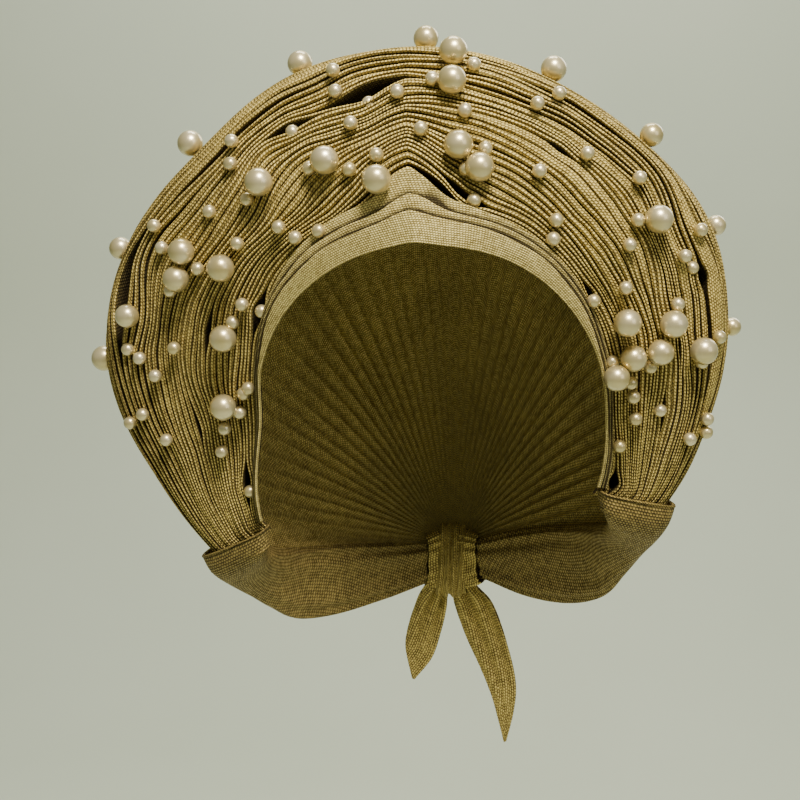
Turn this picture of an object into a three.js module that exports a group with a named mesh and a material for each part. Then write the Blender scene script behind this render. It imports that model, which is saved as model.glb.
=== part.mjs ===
// A tied gele: a stiff woven head tie whose pleats stand round the face as a halo, sewn with pearls.
// Three flat folds frame the forehead, and the pleats run from one side of the head over the top to
// the other. At each end they are gathered into a wrap of the same cloth. The two wraps pass behind
// the jaw and are knotted at the nape, and a hollow cover closes the back from the rim to the knot.
// Millimetres, +Z up, the face looks along -Y, and +X is the wearer's left.
// The origin is the middle of the head at the level where the tie sits.

import * as THREE from "three";

// Driving sizes.
const SEAM_GAP = 0.3;
const FOLD_THICK = 1.7; // a forehead fold is two layers of cloth
const FOLD_SPACING = 2.2; // from one fold to the next one behind it
const COVER_THICK = 1.8;
const LARGE_PEARL = 11.8;
const SMALL_PEARL = 6;

// Clock angles are in degrees round the face in the XZ plane: 0 is the wearer's left, 90 straight up.
// The pleats end at a mouth on each side, and each mouth slants by so many degrees from its inner
// edge to its outer one.
const LEFT_END = -33.2;
const RIGHT_END = 222.2;
const LEFT_SLANT = 5.5;
const RIGHT_SLANT = -2.8;

// Radii from the origin in the XZ plane at each clock angle: the face opening, the free edges of the
// three forehead folds, and the outermost line of the halo.
const OUTLINE = [
  { clock: -33.2, opening: 91.5, lower: 93.0, middle: 94.5, upper: 96.0, rim: 124.0 },
  { clock: -15, opening: 80.0, lower: 81.3, middle: 82.6, upper: 83.9, rim: 125.5 },
  { clock: 5, opening: 72.0, lower: 73.8, middle: 75.4, upper: 77.0, rim: 130.0 },
  { clock: 25, opening: 64.8, lower: 70.0, middle: 71.8, upper: 73.4, rim: 134.0 },
  { clock: 50, opening: 57.5, lower: 65.8, middle: 68.4, upper: 70.8, rim: 131.6 },
  { clock: 75, opening: 52.2, lower: 62.2, middle: 65.2, upper: 69.2, rim: 132.6 },
  { clock: 93, opening: 51.2, lower: 61.6, middle: 65.4, upper: 70.6, rim: 135.0 },
  { clock: 110, opening: 52.2, lower: 62.0, middle: 66.0, upper: 71.5, rim: 136.5 },
  { clock: 135, opening: 56.2, lower: 64.8, middle: 68.4, upper: 72.0, rim: 138.0 },
  { clock: 160, opening: 63.6, lower: 69.4, middle: 71.2, upper: 72.8, rim: 143.5 },
  { clock: 180, opening: 71.0, lower: 72.8, middle: 74.2, upper: 75.6, rim: 145.5 },
  { clock: 200, opening: 79.2, lower: 80.6, middle: 81.8, upper: 83.0, rim: 140.5 },
  { clock: 222.2, opening: 105.0, lower: 106.4, middle: 107.8, upper: 109.2, rim: 137.5 },
];
const LINES = ["opening", "lower", "middle", "upper", "rim"];
// The folds are pinched up to a peak over the forehead, which lifts each line by so much.
const PEAK_CLOCK = 94;
const PEAK_SPREAD = 9;
const PEAK_LIFT = { opening: 1, lower: 3, middle: 5.5, upper: 10, rim: 0 };

const { degToRad, lerp, clamp } = THREE.MathUtils;

// A smooth curve through the rows of a table, which gives an object with the same columns.
function tableCurve(rows, key, columns) {
  const curve = new THREE.CubicInterpolant(
    rows.map((row) => row[key]),
    rows.flatMap((row) => columns.map((column) => row[column])),
    columns.length,
  );
  return (at) => {
    const values = curve.evaluate(at);
    return Object.fromEntries(columns.map((column, i) => [column, values[i]]));
  };
}

const outlineAt = tableCurve(OUTLINE, "clock", LINES);

// Stations run from 0 at the wearer's left mouth to 1 at the right one.
const clockOf = (station) => lerp(LEFT_END, RIGHT_END, station);

function radiiAt(station) {
  const clock = clockOf(station);
  const radii = outlineAt(clock);
  const peak = Math.exp(-(((clock - PEAK_CLOCK) / PEAK_SPREAD) ** 2));
  for (const line of LINES) radii[line] += PEAK_LIFT[line] * peak;
  return radii;
}

// The opening stands forward at the forehead and back at the cheeks, and so does the rim, but less.
const openingY = (station) => -42 - 35 * Math.sin(degToRad(clockOf(station)));
const rimY = (station) => -15 - 15 * Math.sin(degToRad(clockOf(station)));

// The point at a station that lies so far from the Y axis. Near the mouths the sections slant.
function roundTheFace(station, radius, y) {
  const { opening, rim } = radiiAt(station);
  const share = clamp((radius - opening) / (rim - opening), 0, 1);
  const slant = LEFT_SLANT * (1 - station) ** 4 + RIGHT_SLANT * station ** 4;
  const angle = degToRad(clockOf(station) + slant * (share - 0.5));
  return new THREE.Vector3(radius * Math.cos(angle), y, radius * Math.sin(angle));
}

const evenly = (steps) => Array.from({ length: steps + 1 }, (_, k) => k / steps);

// A closed geometry from points and triangles, with its faces turned outwards.
function solidGeometry(points, faces) {
  const volume = faces.reduce((sum, [a, b, c]) => {
    return sum + points[a].dot(points[b].clone().cross(points[c]));
  }, 0);
  const outward = volume > 0 ? faces : faces.map(([a, b, c]) => [a, c, b]);
  const geometry = new THREE.BufferGeometry();
  geometry.setFromPoints(points);
  geometry.setIndex(outward.flat());
  geometry.computeVertexNormals();
  return geometry;
}

// Triangles that fill a loop drawn flat, wound as the loop is.
function fill(flat) {
  const triangles = THREE.ShapeUtils.triangulateShape(flat, []);
  const area = triangles.reduce((sum, t) => sum + THREE.ShapeUtils.area(t.map((i) => flat[i])), 0);
  const sameWay = area * THREE.ShapeUtils.area(flat) > 0;
  return sameWay ? triangles : triangles.map(([a, b, c]) => [a, c, b]);
}

// Joins loops of points, one for each section, into a closed solid. The first and last sections are
// also given flat, which says how the two ends are filled.
function loft(loops, flatStart, flatEnd) {
  const count = loops[0].length;
  const last = (loops.length - 1) * count;
  const faces = [];
  for (let k = 0; k < last; k += count) {
    for (let i = 0; i < count; i++) {
      const a = k + i;
      const b = k + ((i + 1) % count);
      faces.push([a, b, b + count], [a, b + count, a + count]);
    }
  }
  for (const [a, b, c] of fill(flatStart)) faces.push([c, b, a]);
  for (const [a, b, c] of fill(flatEnd)) faces.push([last + a, last + b, last + c]);
  return solidGeometry(loops.flat(), faces);
}

// Lofts sections that are drawn flat, as radius and Y, at stations round the face.
function loftRoundTheFace(steps, section) {
  const stations = evenly(steps);
  const flats = stations.map(section);
  const loops = stations.map((station, k) => flats[k].map((p) => roundTheFace(station, p.x, p.y)));
  return loft(loops, flats[0], flats.at(-1));
}

const clothMaterial = new THREE.MeshStandardMaterial({ color: 0x9a8450, roughness: 0.85, metalness: 0.05 });
const pearlMaterial = new THREE.MeshStandardMaterial({ color: 0xe6d9b8, roughness: 0.25, metalness: 0.05 });
const gele = new THREE.Group();

function addPiece(name, geometry, material) {
  const mesh = new THREE.Mesh(geometry, material);
  mesh.name = name;
  gele.add(mesh);
  return mesh;
}

// Forehead folds. Each is a doubled strip whose folded edge points away from the face, and each next
// one shows above the one in front of it.
const FOLDS = [
  { name: "forehead_fold_lower", edge: "lower", behind: 0 },
  { name: "forehead_fold_middle", edge: "middle", behind: 1 },
  { name: "forehead_fold_upper", edge: "upper", behind: 2 },
];
const FOLD_STEPS = 38;
const FOLD_LEAN = 0.06; // a fold leans back by this share of its height
const FOLD_STAGGER = 0.5; // each fold behind starts this much further from the face
const FOLD_FULLNESS = 0.8; // a narrow fold is at most this share of its height thick

// The middle of a fold's thickness at a radius.
function foldY(station, radius, behind) {
  const { opening } = radiiAt(station);
  return openingY(station) + FOLD_THICK / 2 + FOLD_SPACING * behind + FOLD_LEAN * (radius - opening);
}

function foldSection(station, fold) {
  const radii = radiiAt(station);
  const inner = radii.opening + FOLD_STAGGER * fold.behind;
  const outer = radii[fold.edge];
  const bevel = Math.min(FOLD_THICK, (outer - inner) * FOLD_FULLNESS) / 4;
  const corners = [
    [inner, -0.5],
    [inner + bevel, -1],
    [outer - bevel, -1],
    [outer, 0],
    [outer - bevel, 1],
    [inner + bevel, 1],
  ];
  return corners.map(([radius, side]) => {
    const y = foldY(station, radius, fold.behind) + (side * FOLD_THICK) / 2;
    return new THREE.Vector2(radius, y);
  });
}

for (const fold of FOLDS) {
  const geometry = loftRoundTheFace(FOLD_STEPS, (station) => foldSection(station, fold));
  addPiece(fold.name, geometry, clothMaterial);
}

// The halo of pleats. Its front is a row of ribs on a profile that leans back from the forehead and
// turns over at the rim.
const RIBS = 24;
const HALO_STEPS = 34;
const RIB_DEPTH = 2.4;
const HALO_WALL = 1.8; // behind the valleys between the ribs
const HALO_BACK_POINTS = 8;
const HALO_TUCK = 2; // the first pleat starts this far behind the edge of the upper fold
const RIM_TURN = { top: 14, mouth: 6 }; // how far the cloth runs back behind the rim
const RIM_INSET = 2; // the halo ends this much inside its outermost line
// Where the profile's two guide points lie: first so far across and back, as shares of the whole way
// from the forehead to the rim, then so far past the rim and in front of it.
const LEAN = { across: 0.62, back: 0.22 };
const ROLL = { past: 0.13, front: 0.3 };

const rimTurn = (station) => lerp(RIM_TURN.mouth, RIM_TURN.top, Math.sin(Math.PI * station) ** 0.5);

// The halo's profile at a station, as a curve of radius and Y.
function haloProfile(station) {
  const { upper, rim } = radiiAt(station);
  const startY = foldY(station, upper, 2) + FOLD_THICK / 2 + SEAM_GAP;
  const start = new THREE.Vector2(upper - HALO_TUCK, startY);
  const reach = rim - start.x;
  const back = rimY(station) - startY;
  return new THREE.CubicBezierCurve(
    start,
    new THREE.Vector2(start.x + LEAN.across * reach, startY + LEAN.back * back),
    new THREE.Vector2(rim + ROLL.past * reach, rimY(station) - ROLL.front * back),
    new THREE.Vector2(rim - RIM_INSET, rimY(station) + rimTurn(station)),
  );
}

// A point across the halo, sunk so far below its front. Share is 0 at the forehead and 1 behind the rim.
function haloPoint(profile, share, depth) {
  const at = clamp(share, 0, 1);
  const point = profile.getPointAt(at);
  const tangent = profile.getTangentAt(at);
  return new THREE.Vector2(point.x - tangent.y * depth, point.y + tangent.x * depth);
}

// Places where bundles of pleats are pushed aside, so that they swing in long curves.
const SWINGS = [
  { clock: 200, share: 0.35, wide: 14, deep: 0.25, push: -0.04 },
  { clock: 152, share: 0.5, wide: 13, deep: 0.3, push: 0.06 },
  { clock: 122, share: 0.4, wide: 12, deep: 0.28, push: -0.05 },
  { clock: 62, share: 0.55, wide: 14, deep: 0.3, push: 0.05 },
  { clock: 30, share: 0.5, wide: 11, deep: 0.3, push: -0.06 },
];

function swing(station, share) {
  return SWINGS.reduce((sum, s) => {
    const along = ((clockOf(station) - s.clock) / s.wide) ** 2;
    const across = ((share - s.share) / s.deep) ** 2;
    return sum + s.push * Math.exp(-along - across);
  }, share);
}

function haloSection(station) {
  const profile = haloProfile(station);
  const front = [];
  for (let rib = 0; rib < RIBS; rib++) {
    front.push(haloPoint(profile, swing(station, (rib + 0.1) / RIBS), RIB_DEPTH));
    front.push(haloPoint(profile, swing(station, (rib + 0.6) / RIBS), 0));
  }
  front.push(haloPoint(profile, 1, RIB_DEPTH / 2));
  const back = evenly(HALO_BACK_POINTS - 1).map((share) => {
    return haloPoint(profile, 1 - share, RIB_DEPTH + HALO_WALL);
  });
  return [...front, ...back];
}

const haloGeometry = loftRoundTheFace(HALO_STEPS, haloSection);
addPiece("pleated_halo", haloGeometry, clothMaterial);

// The crown cover runs from behind the rim over the head and is gathered to the nape. Each meridian
// is a curve with two guide points, and its end lies on the line of the knot.
const COVER = [
  { clock: -33.2, x1: 98, y1: 26, z1: -72, x2: 70, y2: 66, z2: -94, napeX: 20, napeZ: -97 },
  { clock: 0, x1: 114, y1: 36, z1: -10, x2: 64, y2: 90, z2: -50, napeX: 16, napeZ: -95 },
  { clock: 45, x1: 88, y1: 50, z1: 90, x2: 46, y2: 120, z2: 6, napeX: 10, napeZ: -94.5 },
  { clock: 90, x1: 0, y1: 50, z1: 139, x2: 2, y2: 140, z2: 32, napeX: 4, napeZ: -94.5 },
  { clock: 135, x1: -92, y1: 50, z1: 94, x2: -42, y2: 120, z2: 4, napeX: -2, napeZ: -94.5 },
  { clock: 180, x1: -124, y1: 38, z1: -14, x2: -62, y2: 92, z2: -56, napeX: -8, napeZ: -95 },
  { clock: 222.2, x1: -98, y1: 30, z1: -94, x2: -66, y2: 68, z2: -105, napeX: -12, napeZ: -98 },
];
const NAPE_Y = 91;
const COVER_ROUND = 40; // steps round the head
const COVER_ALONG = 12; // steps from the rim to the nape
const GATHER_DEPTH = 1.6; // of the gathers, where they meet the knot
const COVER_INSET = 0.003; // the cover stops this share of the way round short of each mouth
const COVER_TUCK = 3; // the cover starts this much inside the rim

const coverAt = tableCurve(COVER, "clock", ["x1", "y1", "z1", "x2", "y2", "z2", "napeX", "napeZ"]);

function coverMeridian(station) {
  const guide = coverAt(clockOf(station));
  const { rim } = radiiAt(station);
  const startY = rimY(station) + rimTurn(station) + SEAM_GAP;
  return new THREE.CubicBezierCurve3(
    roundTheFace(station, rim - COVER_TUCK, startY),
    new THREE.Vector3(guide.x1, guide.y1, guide.z1),
    new THREE.Vector3(guide.x2, guide.y2, guide.z2),
    new THREE.Vector3(guide.napeX, NAPE_Y, guide.napeZ),
  );
}

// Rows of points on the cover's outer side, one row for each station.
const coverRows = evenly(COVER_ROUND).map((share) => {
  return coverMeridian(lerp(COVER_INSET, 1 - COVER_INSET, share)).getSpacedPoints(COVER_ALONG);
});

// The direction out of the cover at a point of its rows.
function coverNormal(k, i) {
  const before = coverRows[Math.max(k - 1, 0)][i];
  const after = coverRows[Math.min(k + 1, COVER_ROUND)][i];
  const ahead = coverRows[k][Math.min(i + 1, COVER_ALONG)];
  const behind = coverRows[k][Math.max(i - 1, 0)];
  return ahead.clone().sub(behind).cross(after.clone().sub(before)).normalize();
}

// A point on the cover, sunk below its outer side. The gathers deepen towards the nape.
function coverPoint(k, i, depth) {
  const gather = (k % 2 ? -1 : 1) * (GATHER_DEPTH / 2) * (i / COVER_ALONG) ** 2;
  return coverRows[k][i].clone().addScaledVector(coverNormal(k, i), gather - depth);
}

function coverSection(k) {
  const along = evenly(COVER_ALONG).map((share) => Math.round(share * COVER_ALONG));
  const outside = along.map((i) => coverPoint(k, i, 0));
  const inside = along.map((i) => coverPoint(k, i, COVER_THICK)).reverse();
  return [...outside, ...inside];
}

// The cover's section drawn flat, to fill its two side edges. It is bent into an arc, so that each
// triangle joins the outer side to the inner one.
const COVER_ARC = { turn: 4.8, outside: 1.2, inside: 1.15 };
const arcPoint = (radius, share) => {
  const angle = COVER_ARC.turn * share;
  return new THREE.Vector2(radius * Math.cos(angle), radius * Math.sin(angle));
};
const coverFlat = [
  ...evenly(COVER_ALONG).map((share) => arcPoint(COVER_ARC.outside, share)),
  ...evenly(COVER_ALONG).map((share) => arcPoint(COVER_ARC.inside, 1 - share)),
];
const coverSections = evenly(COVER_ROUND).map((station, k) => coverSection(k));
addPiece("crown_cover", loft(coverSections, coverFlat, coverFlat), clothMaterial);

// Wound and tied pieces. Each row of a table is a section: the two edges of the cloth there, and how
// thick the gathered cloth is.
const BAND_SIDES = 12;
const BAND_ROUNDNESS = 0.7;

const roundedPower = (value) => Math.sign(value) * Math.abs(value) ** BAND_ROUNDNESS;
const bandFlat = evenly(BAND_SIDES).slice(0, -1).map((share) => {
  const angle = 2 * Math.PI * share;
  return new THREE.Vector2(roundedPower(Math.cos(angle)), roundedPower(Math.sin(angle)));
});

function bandGeometry(rows, steps) {
  const numbered = rows.map((row, i) => ({ at: i / (rows.length - 1), ...row }));
  const columns = ["ax", "ay", "az", "bx", "by", "bz", "thick"];
  const rowAt = tableCurve(numbered, "at", columns);
  const sections = evenly(steps).map((share) => {
    const row = rowAt(share);
    const a = new THREE.Vector3(row.ax, row.ay, row.az);
    const b = new THREE.Vector3(row.bx, row.by, row.bz);
    return { centre: a.clone().lerp(b, 0.5), half: a.clone().sub(b).divideScalar(2), thick: row.thick };
  });
  const loops = sections.map(({ centre, half, thick }, k) => {
    const before = sections[Math.max(k - 1, 0)].centre;
    const after = sections[Math.min(k + 1, steps)].centre;
    const across = after.clone().sub(before).cross(half).setLength(thick / 2);
    return bandFlat.map((p) => centre.clone().addScaledVector(half, p.x).addScaledVector(across, p.y));
  });
  return loft(loops, bandFlat, bandFlat);
}

// The outer edge of each wrap comes first. It becomes the lower edge on the way to the nape.
const LEFT_WRAP = [
  { ax: 109.5, ay: 0, az: -64.6, bx: 75.5, by: -19, bz: -56.3, thick: 14 },
  { ax: 107.0, ay: 1, az: -73.0, bx: 77.0, by: -16, bz: -64.0, thick: 13.5 },
  { ax: 103.5, ay: 8, az: -82.0, bx: 80.0, by: -5, bz: -70.5, thick: 13 },
  { ax: 98.0, ay: 18, az: -92.5, bx: 81.0, by: 10, bz: -76.0, thick: 12 },
  { ax: 91.0, ay: 30, az: -105.0, bx: 78.0, by: 27, bz: -81.0, thick: 11 },
  { ax: 82.5, ay: 44, az: -118.5, bx: 70.0, by: 44, bz: -85.0, thick: 10 },
  { ax: 66.0, ay: 60, az: -126.0, bx: 56.0, by: 60, bz: -89.0, thick: 9 },
  { ax: 44.0, ay: 77, az: -127.0, bx: 38.0, by: 75, bz: -95.0, thick: 9 },
  { ax: 22.5, ay: 89.3, az: -122.0, bx: 20.6, by: 86.3, bz: -102.0, thick: 9 },
];
const RIGHT_WRAP = [
  { ax: -107.5, ay: 2, az: -92.4, bx: -74.5, by: -17, bz: -76.4, thick: 14 },
  { ax: -103.5, ay: 3, az: -99.5, bx: -75.5, by: -14, bz: -83.0, thick: 13.5 },
  { ax: -99.5, ay: 11, az: -106.5, bx: -78.0, by: -3, bz: -88.0, thick: 13 },
  { ax: -93.0, ay: 22, az: -115.5, bx: -78.0, by: 11, bz: -92.0, thick: 12 },
  { ax: -84.0, ay: 35, az: -126.0, bx: -74.0, by: 28, bz: -95.5, thick: 11 },
  { ax: -73.0, ay: 48, az: -135.5, bx: -65.0, by: 45, bz: -98.0, thick: 10 },
  { ax: -55.0, ay: 64, az: -137.0, bx: -48.0, by: 61, bz: -100.0, thick: 9 },
  { ax: -32.0, ay: 80, az: -132.0, bx: -28.0, by: 77, bz: -103.0, thick: 9 },
  { ax: -10.7, ay: 91.2, az: -125.0, bx: -9.7, by: 88.2, bz: -104.0, thick: 9 },
];
const KNOT = [
  { ax: 21.8, ay: 89.8, az: -125.0, bx: 20.2, by: 86.8, bz: -99.5, thick: 12 },
  { ax: 17.6, ay: 92.2, az: -127.5, bx: 16.4, by: 89.4, bz: -98.3, thick: 16 },
  { ax: 10.5, ay: 96.0, az: -130.3, bx: 9.5, by: 94.0, bz: -97.0, thick: 20 },
  { ax: 5.5, ay: 97.5, az: -131.5, bx: 5.5, by: 96.0, bz: -96.6, thick: 21 },
  { ax: 0.5, ay: 96.8, az: -130.8, bx: 1.0, by: 94.8, bz: -97.2, thick: 20 },
  { ax: -5.6, ay: 93.8, az: -129.0, bx: -5.0, by: 90.8, bz: -99.0, thick: 16 },
  { ax: -9.9, ay: 91.6, az: -127.5, bx: -9.3, by: 88.6, bz: -101.0, thick: 12 },
];
const LONG_TAIL = [
  { ax: 5.0, ay: 99, az: -132.2, bx: 18.5, by: 96, bz: -127.9, thick: 6 },
  { ax: 6.5, ay: 101, az: -142.0, bx: 26.0, by: 98, bz: -137.0, thick: 4 },
  { ax: 12.0, ay: 101, az: -158.0, bx: 32.0, by: 99, bz: -152.0, thick: 3 },
  { ax: 20.0, ay: 99, az: -175.0, bx: 37.0, by: 97, bz: -169.0, thick: 2.6 },
  { ax: 26.5, ay: 96, az: -190.0, bx: 39.5, by: 95, bz: -184.0, thick: 2.4 },
  { ax: 30.5, ay: 95, az: -203.0, bx: 38.5, by: 95, bz: -198.0, thick: 2.2 },
  { ax: 33.4, ay: 95, az: -215.0, bx: 34.8, by: 95, bz: -214.4, thick: 2 },
];
const SHORT_TAIL = [
  { ax: -9.0, ay: 94, az: -128.9, bx: 2.6, by: 97.5, bz: -132.0, thick: 6 },
  { ax: -14.0, ay: 98, az: -138.0, bx: 1.5, by: 100, bz: -142.0, thick: 4 },
  { ax: -18.5, ay: 99, az: -151.0, bx: -1.5, by: 100, bz: -156.0, thick: 3 },
  { ax: -20.5, ay: 98, az: -164.0, bx: -6.0, by: 99, bz: -170.0, thick: 2.6 },
  { ax: -16.8, ay: 97, az: -181.4, bx: -15.4, by: 97, bz: -182.0, thick: 2 },
];
addPiece("left_wrap", bandGeometry(LEFT_WRAP, 14), clothMaterial);
addPiece("right_wrap", bandGeometry(RIGHT_WRAP, 14), clothMaterial);
addPiece("nape_knot", bandGeometry(KNOT, 8), clothMaterial);
addPiece("tail_long", bandGeometry(LONG_TAIL, 10), clothMaterial);
addPiece("tail_short", bandGeometry(SHORT_TAIL, 8), clothMaterial);

// Pearls are sewn to the pleats, and some hang behind the rim. Each row gives a pearl's clock angle and
// its share of the way across the halo. Size is only given where it isn't the usual one.
const LARGE_PEARLS = [
  { clock: 90.5, share: 0.88, size: 10.8 },
  { clock: 85, share: 0.69 },
  { clock: 84.5, share: 0.52 },
  { clock: 113.5, share: 0.91, size: 11 },
  { clock: 138, share: 0.92, size: 11.5 },
  { clock: 160.5, share: 0.9, size: 10.2 },
  { clock: 180.5, share: 0.93 },
  { clock: 67, share: 0.92, size: 11.2 },
  { clock: 45.5, share: 0.88, size: 10.2 },
  { clock: 25, share: 0.94, size: 9 },
  { clock: 5.5, share: 0.94, size: 8.2 },
  { clock: 115, share: 0.25 },
  { clock: 131.5, share: 0.35 },
  { clock: 103, share: 0.05 },
  { clock: 81, share: 0.24 },
  { clock: 74.5, share: 0.18 },
  { clock: 155, share: 0.48, size: 11.4 },
  { clock: 161, share: 0.46, size: 11.4 },
  { clock: 154, share: 0.265 },
  { clock: 171.5, share: 0.69, size: 10.5 },
  { clock: 172, share: 0.17 },
  { clock: 191.5, share: 0.19 },
  { clock: 32.5, share: 0.505 },
  { clock: 13.5, share: 0.155 },
  { clock: 10, share: 0.405 },
  { clock: 2.5, share: 0.585 },
  { clock: 3.5, share: 0.155, size: 11.2 },
  { clock: 4, share: 0.32, size: 11.2 },
  { clock: -1.5, share: 0.03, size: 11.2 },
];
const SMALL_PEARLS = [
  { clock: 107.5, share: 0.68 },
  { clock: 153.5, share: 0.7 },
  { clock: 81, share: 0.68 },
  { clock: 64, share: 0.685 },
  { clock: 53, share: 0.485 },
  { clock: 41.5, share: 0.58 },
  { clock: 26, share: 0.71 },
  { clock: 4.5, share: 0.72 },
  { clock: -16, share: 0.8 },
  { clock: 191, share: 0.7 },
  { clock: 192.5, share: 0.81 },
];
const PEARL_GAP = 0.2;
const PEARL_SIDES = 10;
const LARGE_RINGS = 5;
const SMALL_RINGS = 4;
const SETTLE_TURNS = 8; // moves it takes for a pearl to come to rest

const clothTriangles = gele.children.flatMap(({ geometry }) => {
  const position = geometry.getAttribute("position");
  const corners = geometry.getIndex().array;
  return Array.from({ length: corners.length / 3 }, (_, t) => {
    const [a, b, c] = corners.subarray(3 * t, 3 * t + 3);
    return new THREE.Triangle().setFromAttributeAndIndices(position, a, b, c);
  });
});

// How far a point is from the nearest cloth.
function clothDistance(point) {
  const nearest = new THREE.Vector3();
  return clothTriangles.reduce((least, triangle) => {
    return Math.min(least, triangle.closestPointToPoint(point, nearest).distanceTo(point));
  }, Infinity);
}

// A pearl's centre beside the halo, moved straight out until the pearl stands just clear of the cloth.
function pearlCentre({ clock, share, size }) {
  const station = (clock - LEFT_END) / (RIGHT_END - LEFT_END);
  const profile = haloProfile(station);
  const seat = haloPoint(profile, share, 0);
  const above = haloPoint(profile, share, -size / 2);
  const centre = roundTheFace(station, above.x, above.y);
  const outward = centre.clone().sub(roundTheFace(station, seat.x, seat.y)).normalize();
  for (let turn = 0; turn < SETTLE_TURNS; turn++)
    centre.addScaledVector(outward, size / 2 + PEARL_GAP - clothDistance(centre));
  return centre;
}

function addPearls(kind, rows, usualSize, rings) {
  rows.forEach((row, i) => {
    const pearl = { size: usualSize, ...row };
    const geometry = new THREE.SphereGeometry(pearl.size / 2, PEARL_SIDES, rings);
    const mesh = addPiece(`${kind}_pearl_${i + 1}`, geometry, pearlMaterial);
    mesh.position.copy(pearlCentre(pearl));
  });
}

addPearls("large", LARGE_PEARLS, LARGE_PEARL, LARGE_RINGS);
addPearls("small", SMALL_PEARLS, SMALL_PEARL, SMALL_RINGS);

export default gele;
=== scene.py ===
import math

import bpy
import numpy as np
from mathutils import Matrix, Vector


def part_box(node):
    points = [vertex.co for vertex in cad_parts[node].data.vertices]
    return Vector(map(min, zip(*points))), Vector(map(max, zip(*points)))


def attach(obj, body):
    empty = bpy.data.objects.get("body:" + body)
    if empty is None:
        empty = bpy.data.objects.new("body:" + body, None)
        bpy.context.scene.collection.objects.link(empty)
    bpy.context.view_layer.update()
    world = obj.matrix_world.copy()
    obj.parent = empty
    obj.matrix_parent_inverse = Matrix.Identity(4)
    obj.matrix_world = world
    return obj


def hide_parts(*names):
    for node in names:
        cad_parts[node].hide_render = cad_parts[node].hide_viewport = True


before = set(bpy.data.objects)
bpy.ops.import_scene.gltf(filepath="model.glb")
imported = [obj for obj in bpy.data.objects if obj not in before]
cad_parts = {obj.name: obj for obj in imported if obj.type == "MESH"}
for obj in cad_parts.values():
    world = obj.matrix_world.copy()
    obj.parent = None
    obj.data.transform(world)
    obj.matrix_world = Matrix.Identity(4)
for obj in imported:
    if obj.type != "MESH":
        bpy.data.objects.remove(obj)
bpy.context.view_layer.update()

# ---------------------------------------------------------------- forehead folds
# Three folds of the tie frame its front opening. Each is the stiff woven cloth doubled back on itself,
# folded edge outwards, and shows above the one in front of it. They are pinched up to a low peak at
# the top, and their ends run down both sides into the wraps.

# Millimetres out from the Y axis, at clock angles round the opening (0 is +X, the tie's left, and 90 is
# straight up): the opening, the three folded edges, and the outermost line of the pleats.
OUTLINE = np.array([
    # clock, opening, lower, middle, upper, rim
    (-33.2, 91.5, 93.0, 94.5, 96.0, 124.0),
    (-15, 80.0, 81.3, 82.6, 83.9, 125.5),
    (5, 72.0, 73.8, 75.4, 77.0, 130.0),
    (25, 64.8, 70.0, 71.8, 73.4, 134.0),
    (50, 57.5, 65.8, 68.4, 70.8, 131.6),
    (75, 52.2, 62.2, 65.2, 69.2, 132.6),
    (93, 51.2, 61.6, 65.4, 70.6, 135.0),
    (110, 52.2, 62.0, 66.0, 71.5, 136.5),
    (135, 56.2, 64.8, 68.4, 72.0, 138.0),
    (160, 63.6, 69.4, 71.2, 72.8, 143.5),
    (180, 71.0, 72.8, 74.2, 75.6, 145.5),
    (200, 79.2, 80.6, 81.8, 83.0, 140.5),
    (222.2, 105.0, 106.4, 107.8, 109.2, 137.5),
])
LEFT_END, RIGHT_END = OUTLINE[0, 0], OUTLINE[-1, 0]
LEFT_SLANT, RIGHT_SLANT = 5.5, -2.8  # degrees that each gathered end slants by
PEAK_CLOCK = 94
PEAK_SPREAD, POINT_SPREAD = 9, 3  # degrees: the whole peak, and its sharp point
# How far the peak and its point lift each of the table's columns, in millimetres.
PEAK_LIFT = np.array([1, 3, 5.5, 10, 0])
POINT_LIFT = np.array([0, 0.6, 0.9, 1.6, 0])
# The opening's edge lies at this Y at the sides, and this much further forward at the top (mm).
OPENING_Y, OPENING_FORWARD = -42, 35
FOLD_THICK, FOLD_SPACING = 1.7, 2.2
FOLD_LEAN = 0.06  # how far a fold leans back for each millimetre outwards


def table_curve(rows, at):
    """A smooth curve through a table's rows. The first column is the place that each row is for."""
    place, values = rows[:, 0], rows[:, 1:]
    chord = np.diff(values, axis=0) / np.diff(place)[:, None]
    slope = np.vstack([chord[:1], (chord[1:] + chord[:-1]) / 2, chord[-1:]])
    at = np.clip(np.asarray(at, float), place[0], place[-1])
    k = np.clip(np.searchsorted(place, at, side="right") - 1, 0, len(place) - 2)
    step = (place[k + 1] - place[k])[..., None]
    p = (at - place[k])[..., None] / step
    return ((1 + 2 * p) * (1 - p) ** 2 * values[k] + p * (1 - p) ** 2 * step * slope[k]
            + p ** 2 * (3 - 2 * p) * values[k + 1] - p ** 2 * (1 - p) * step * slope[k + 1])


def clock_of(station):
    return LEFT_END + (RIGHT_END - LEFT_END) * np.asarray(station, float)


def station_of(clock):
    return (np.asarray(clock, float) - LEFT_END) / (RIGHT_END - LEFT_END)


def radii_at(station):
    """The table's five radii at stations from the left end (0) to the right end (1)."""
    off_peak = clock_of(station) - PEAK_CLOCK
    peak = np.exp(-(off_peak / PEAK_SPREAD) ** 2)
    point = np.exp(-np.abs(off_peak) / POINT_SPREAD)
    return (table_curve(OUTLINE, clock_of(station)) + PEAK_LIFT * peak[..., None]
            + POINT_LIFT * point[..., None])


def round_the_opening(station, radius, y):
    """Points at stations round the opening, so far from the Y axis. Near the two ends they slant."""
    station = np.asarray(station, float)
    radii = radii_at(station)
    share = np.clip((radius - radii[..., 0]) / (radii[..., 4] - radii[..., 0]), 0, 1)
    slant = LEFT_SLANT * (1 - station) ** 4 + RIGHT_SLANT * station ** 4
    angle = np.radians(clock_of(station) + slant * (share - 0.5))
    return np.stack(np.broadcast_arrays(radius * np.cos(angle), y, radius * np.sin(angle)), axis=-1)


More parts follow.
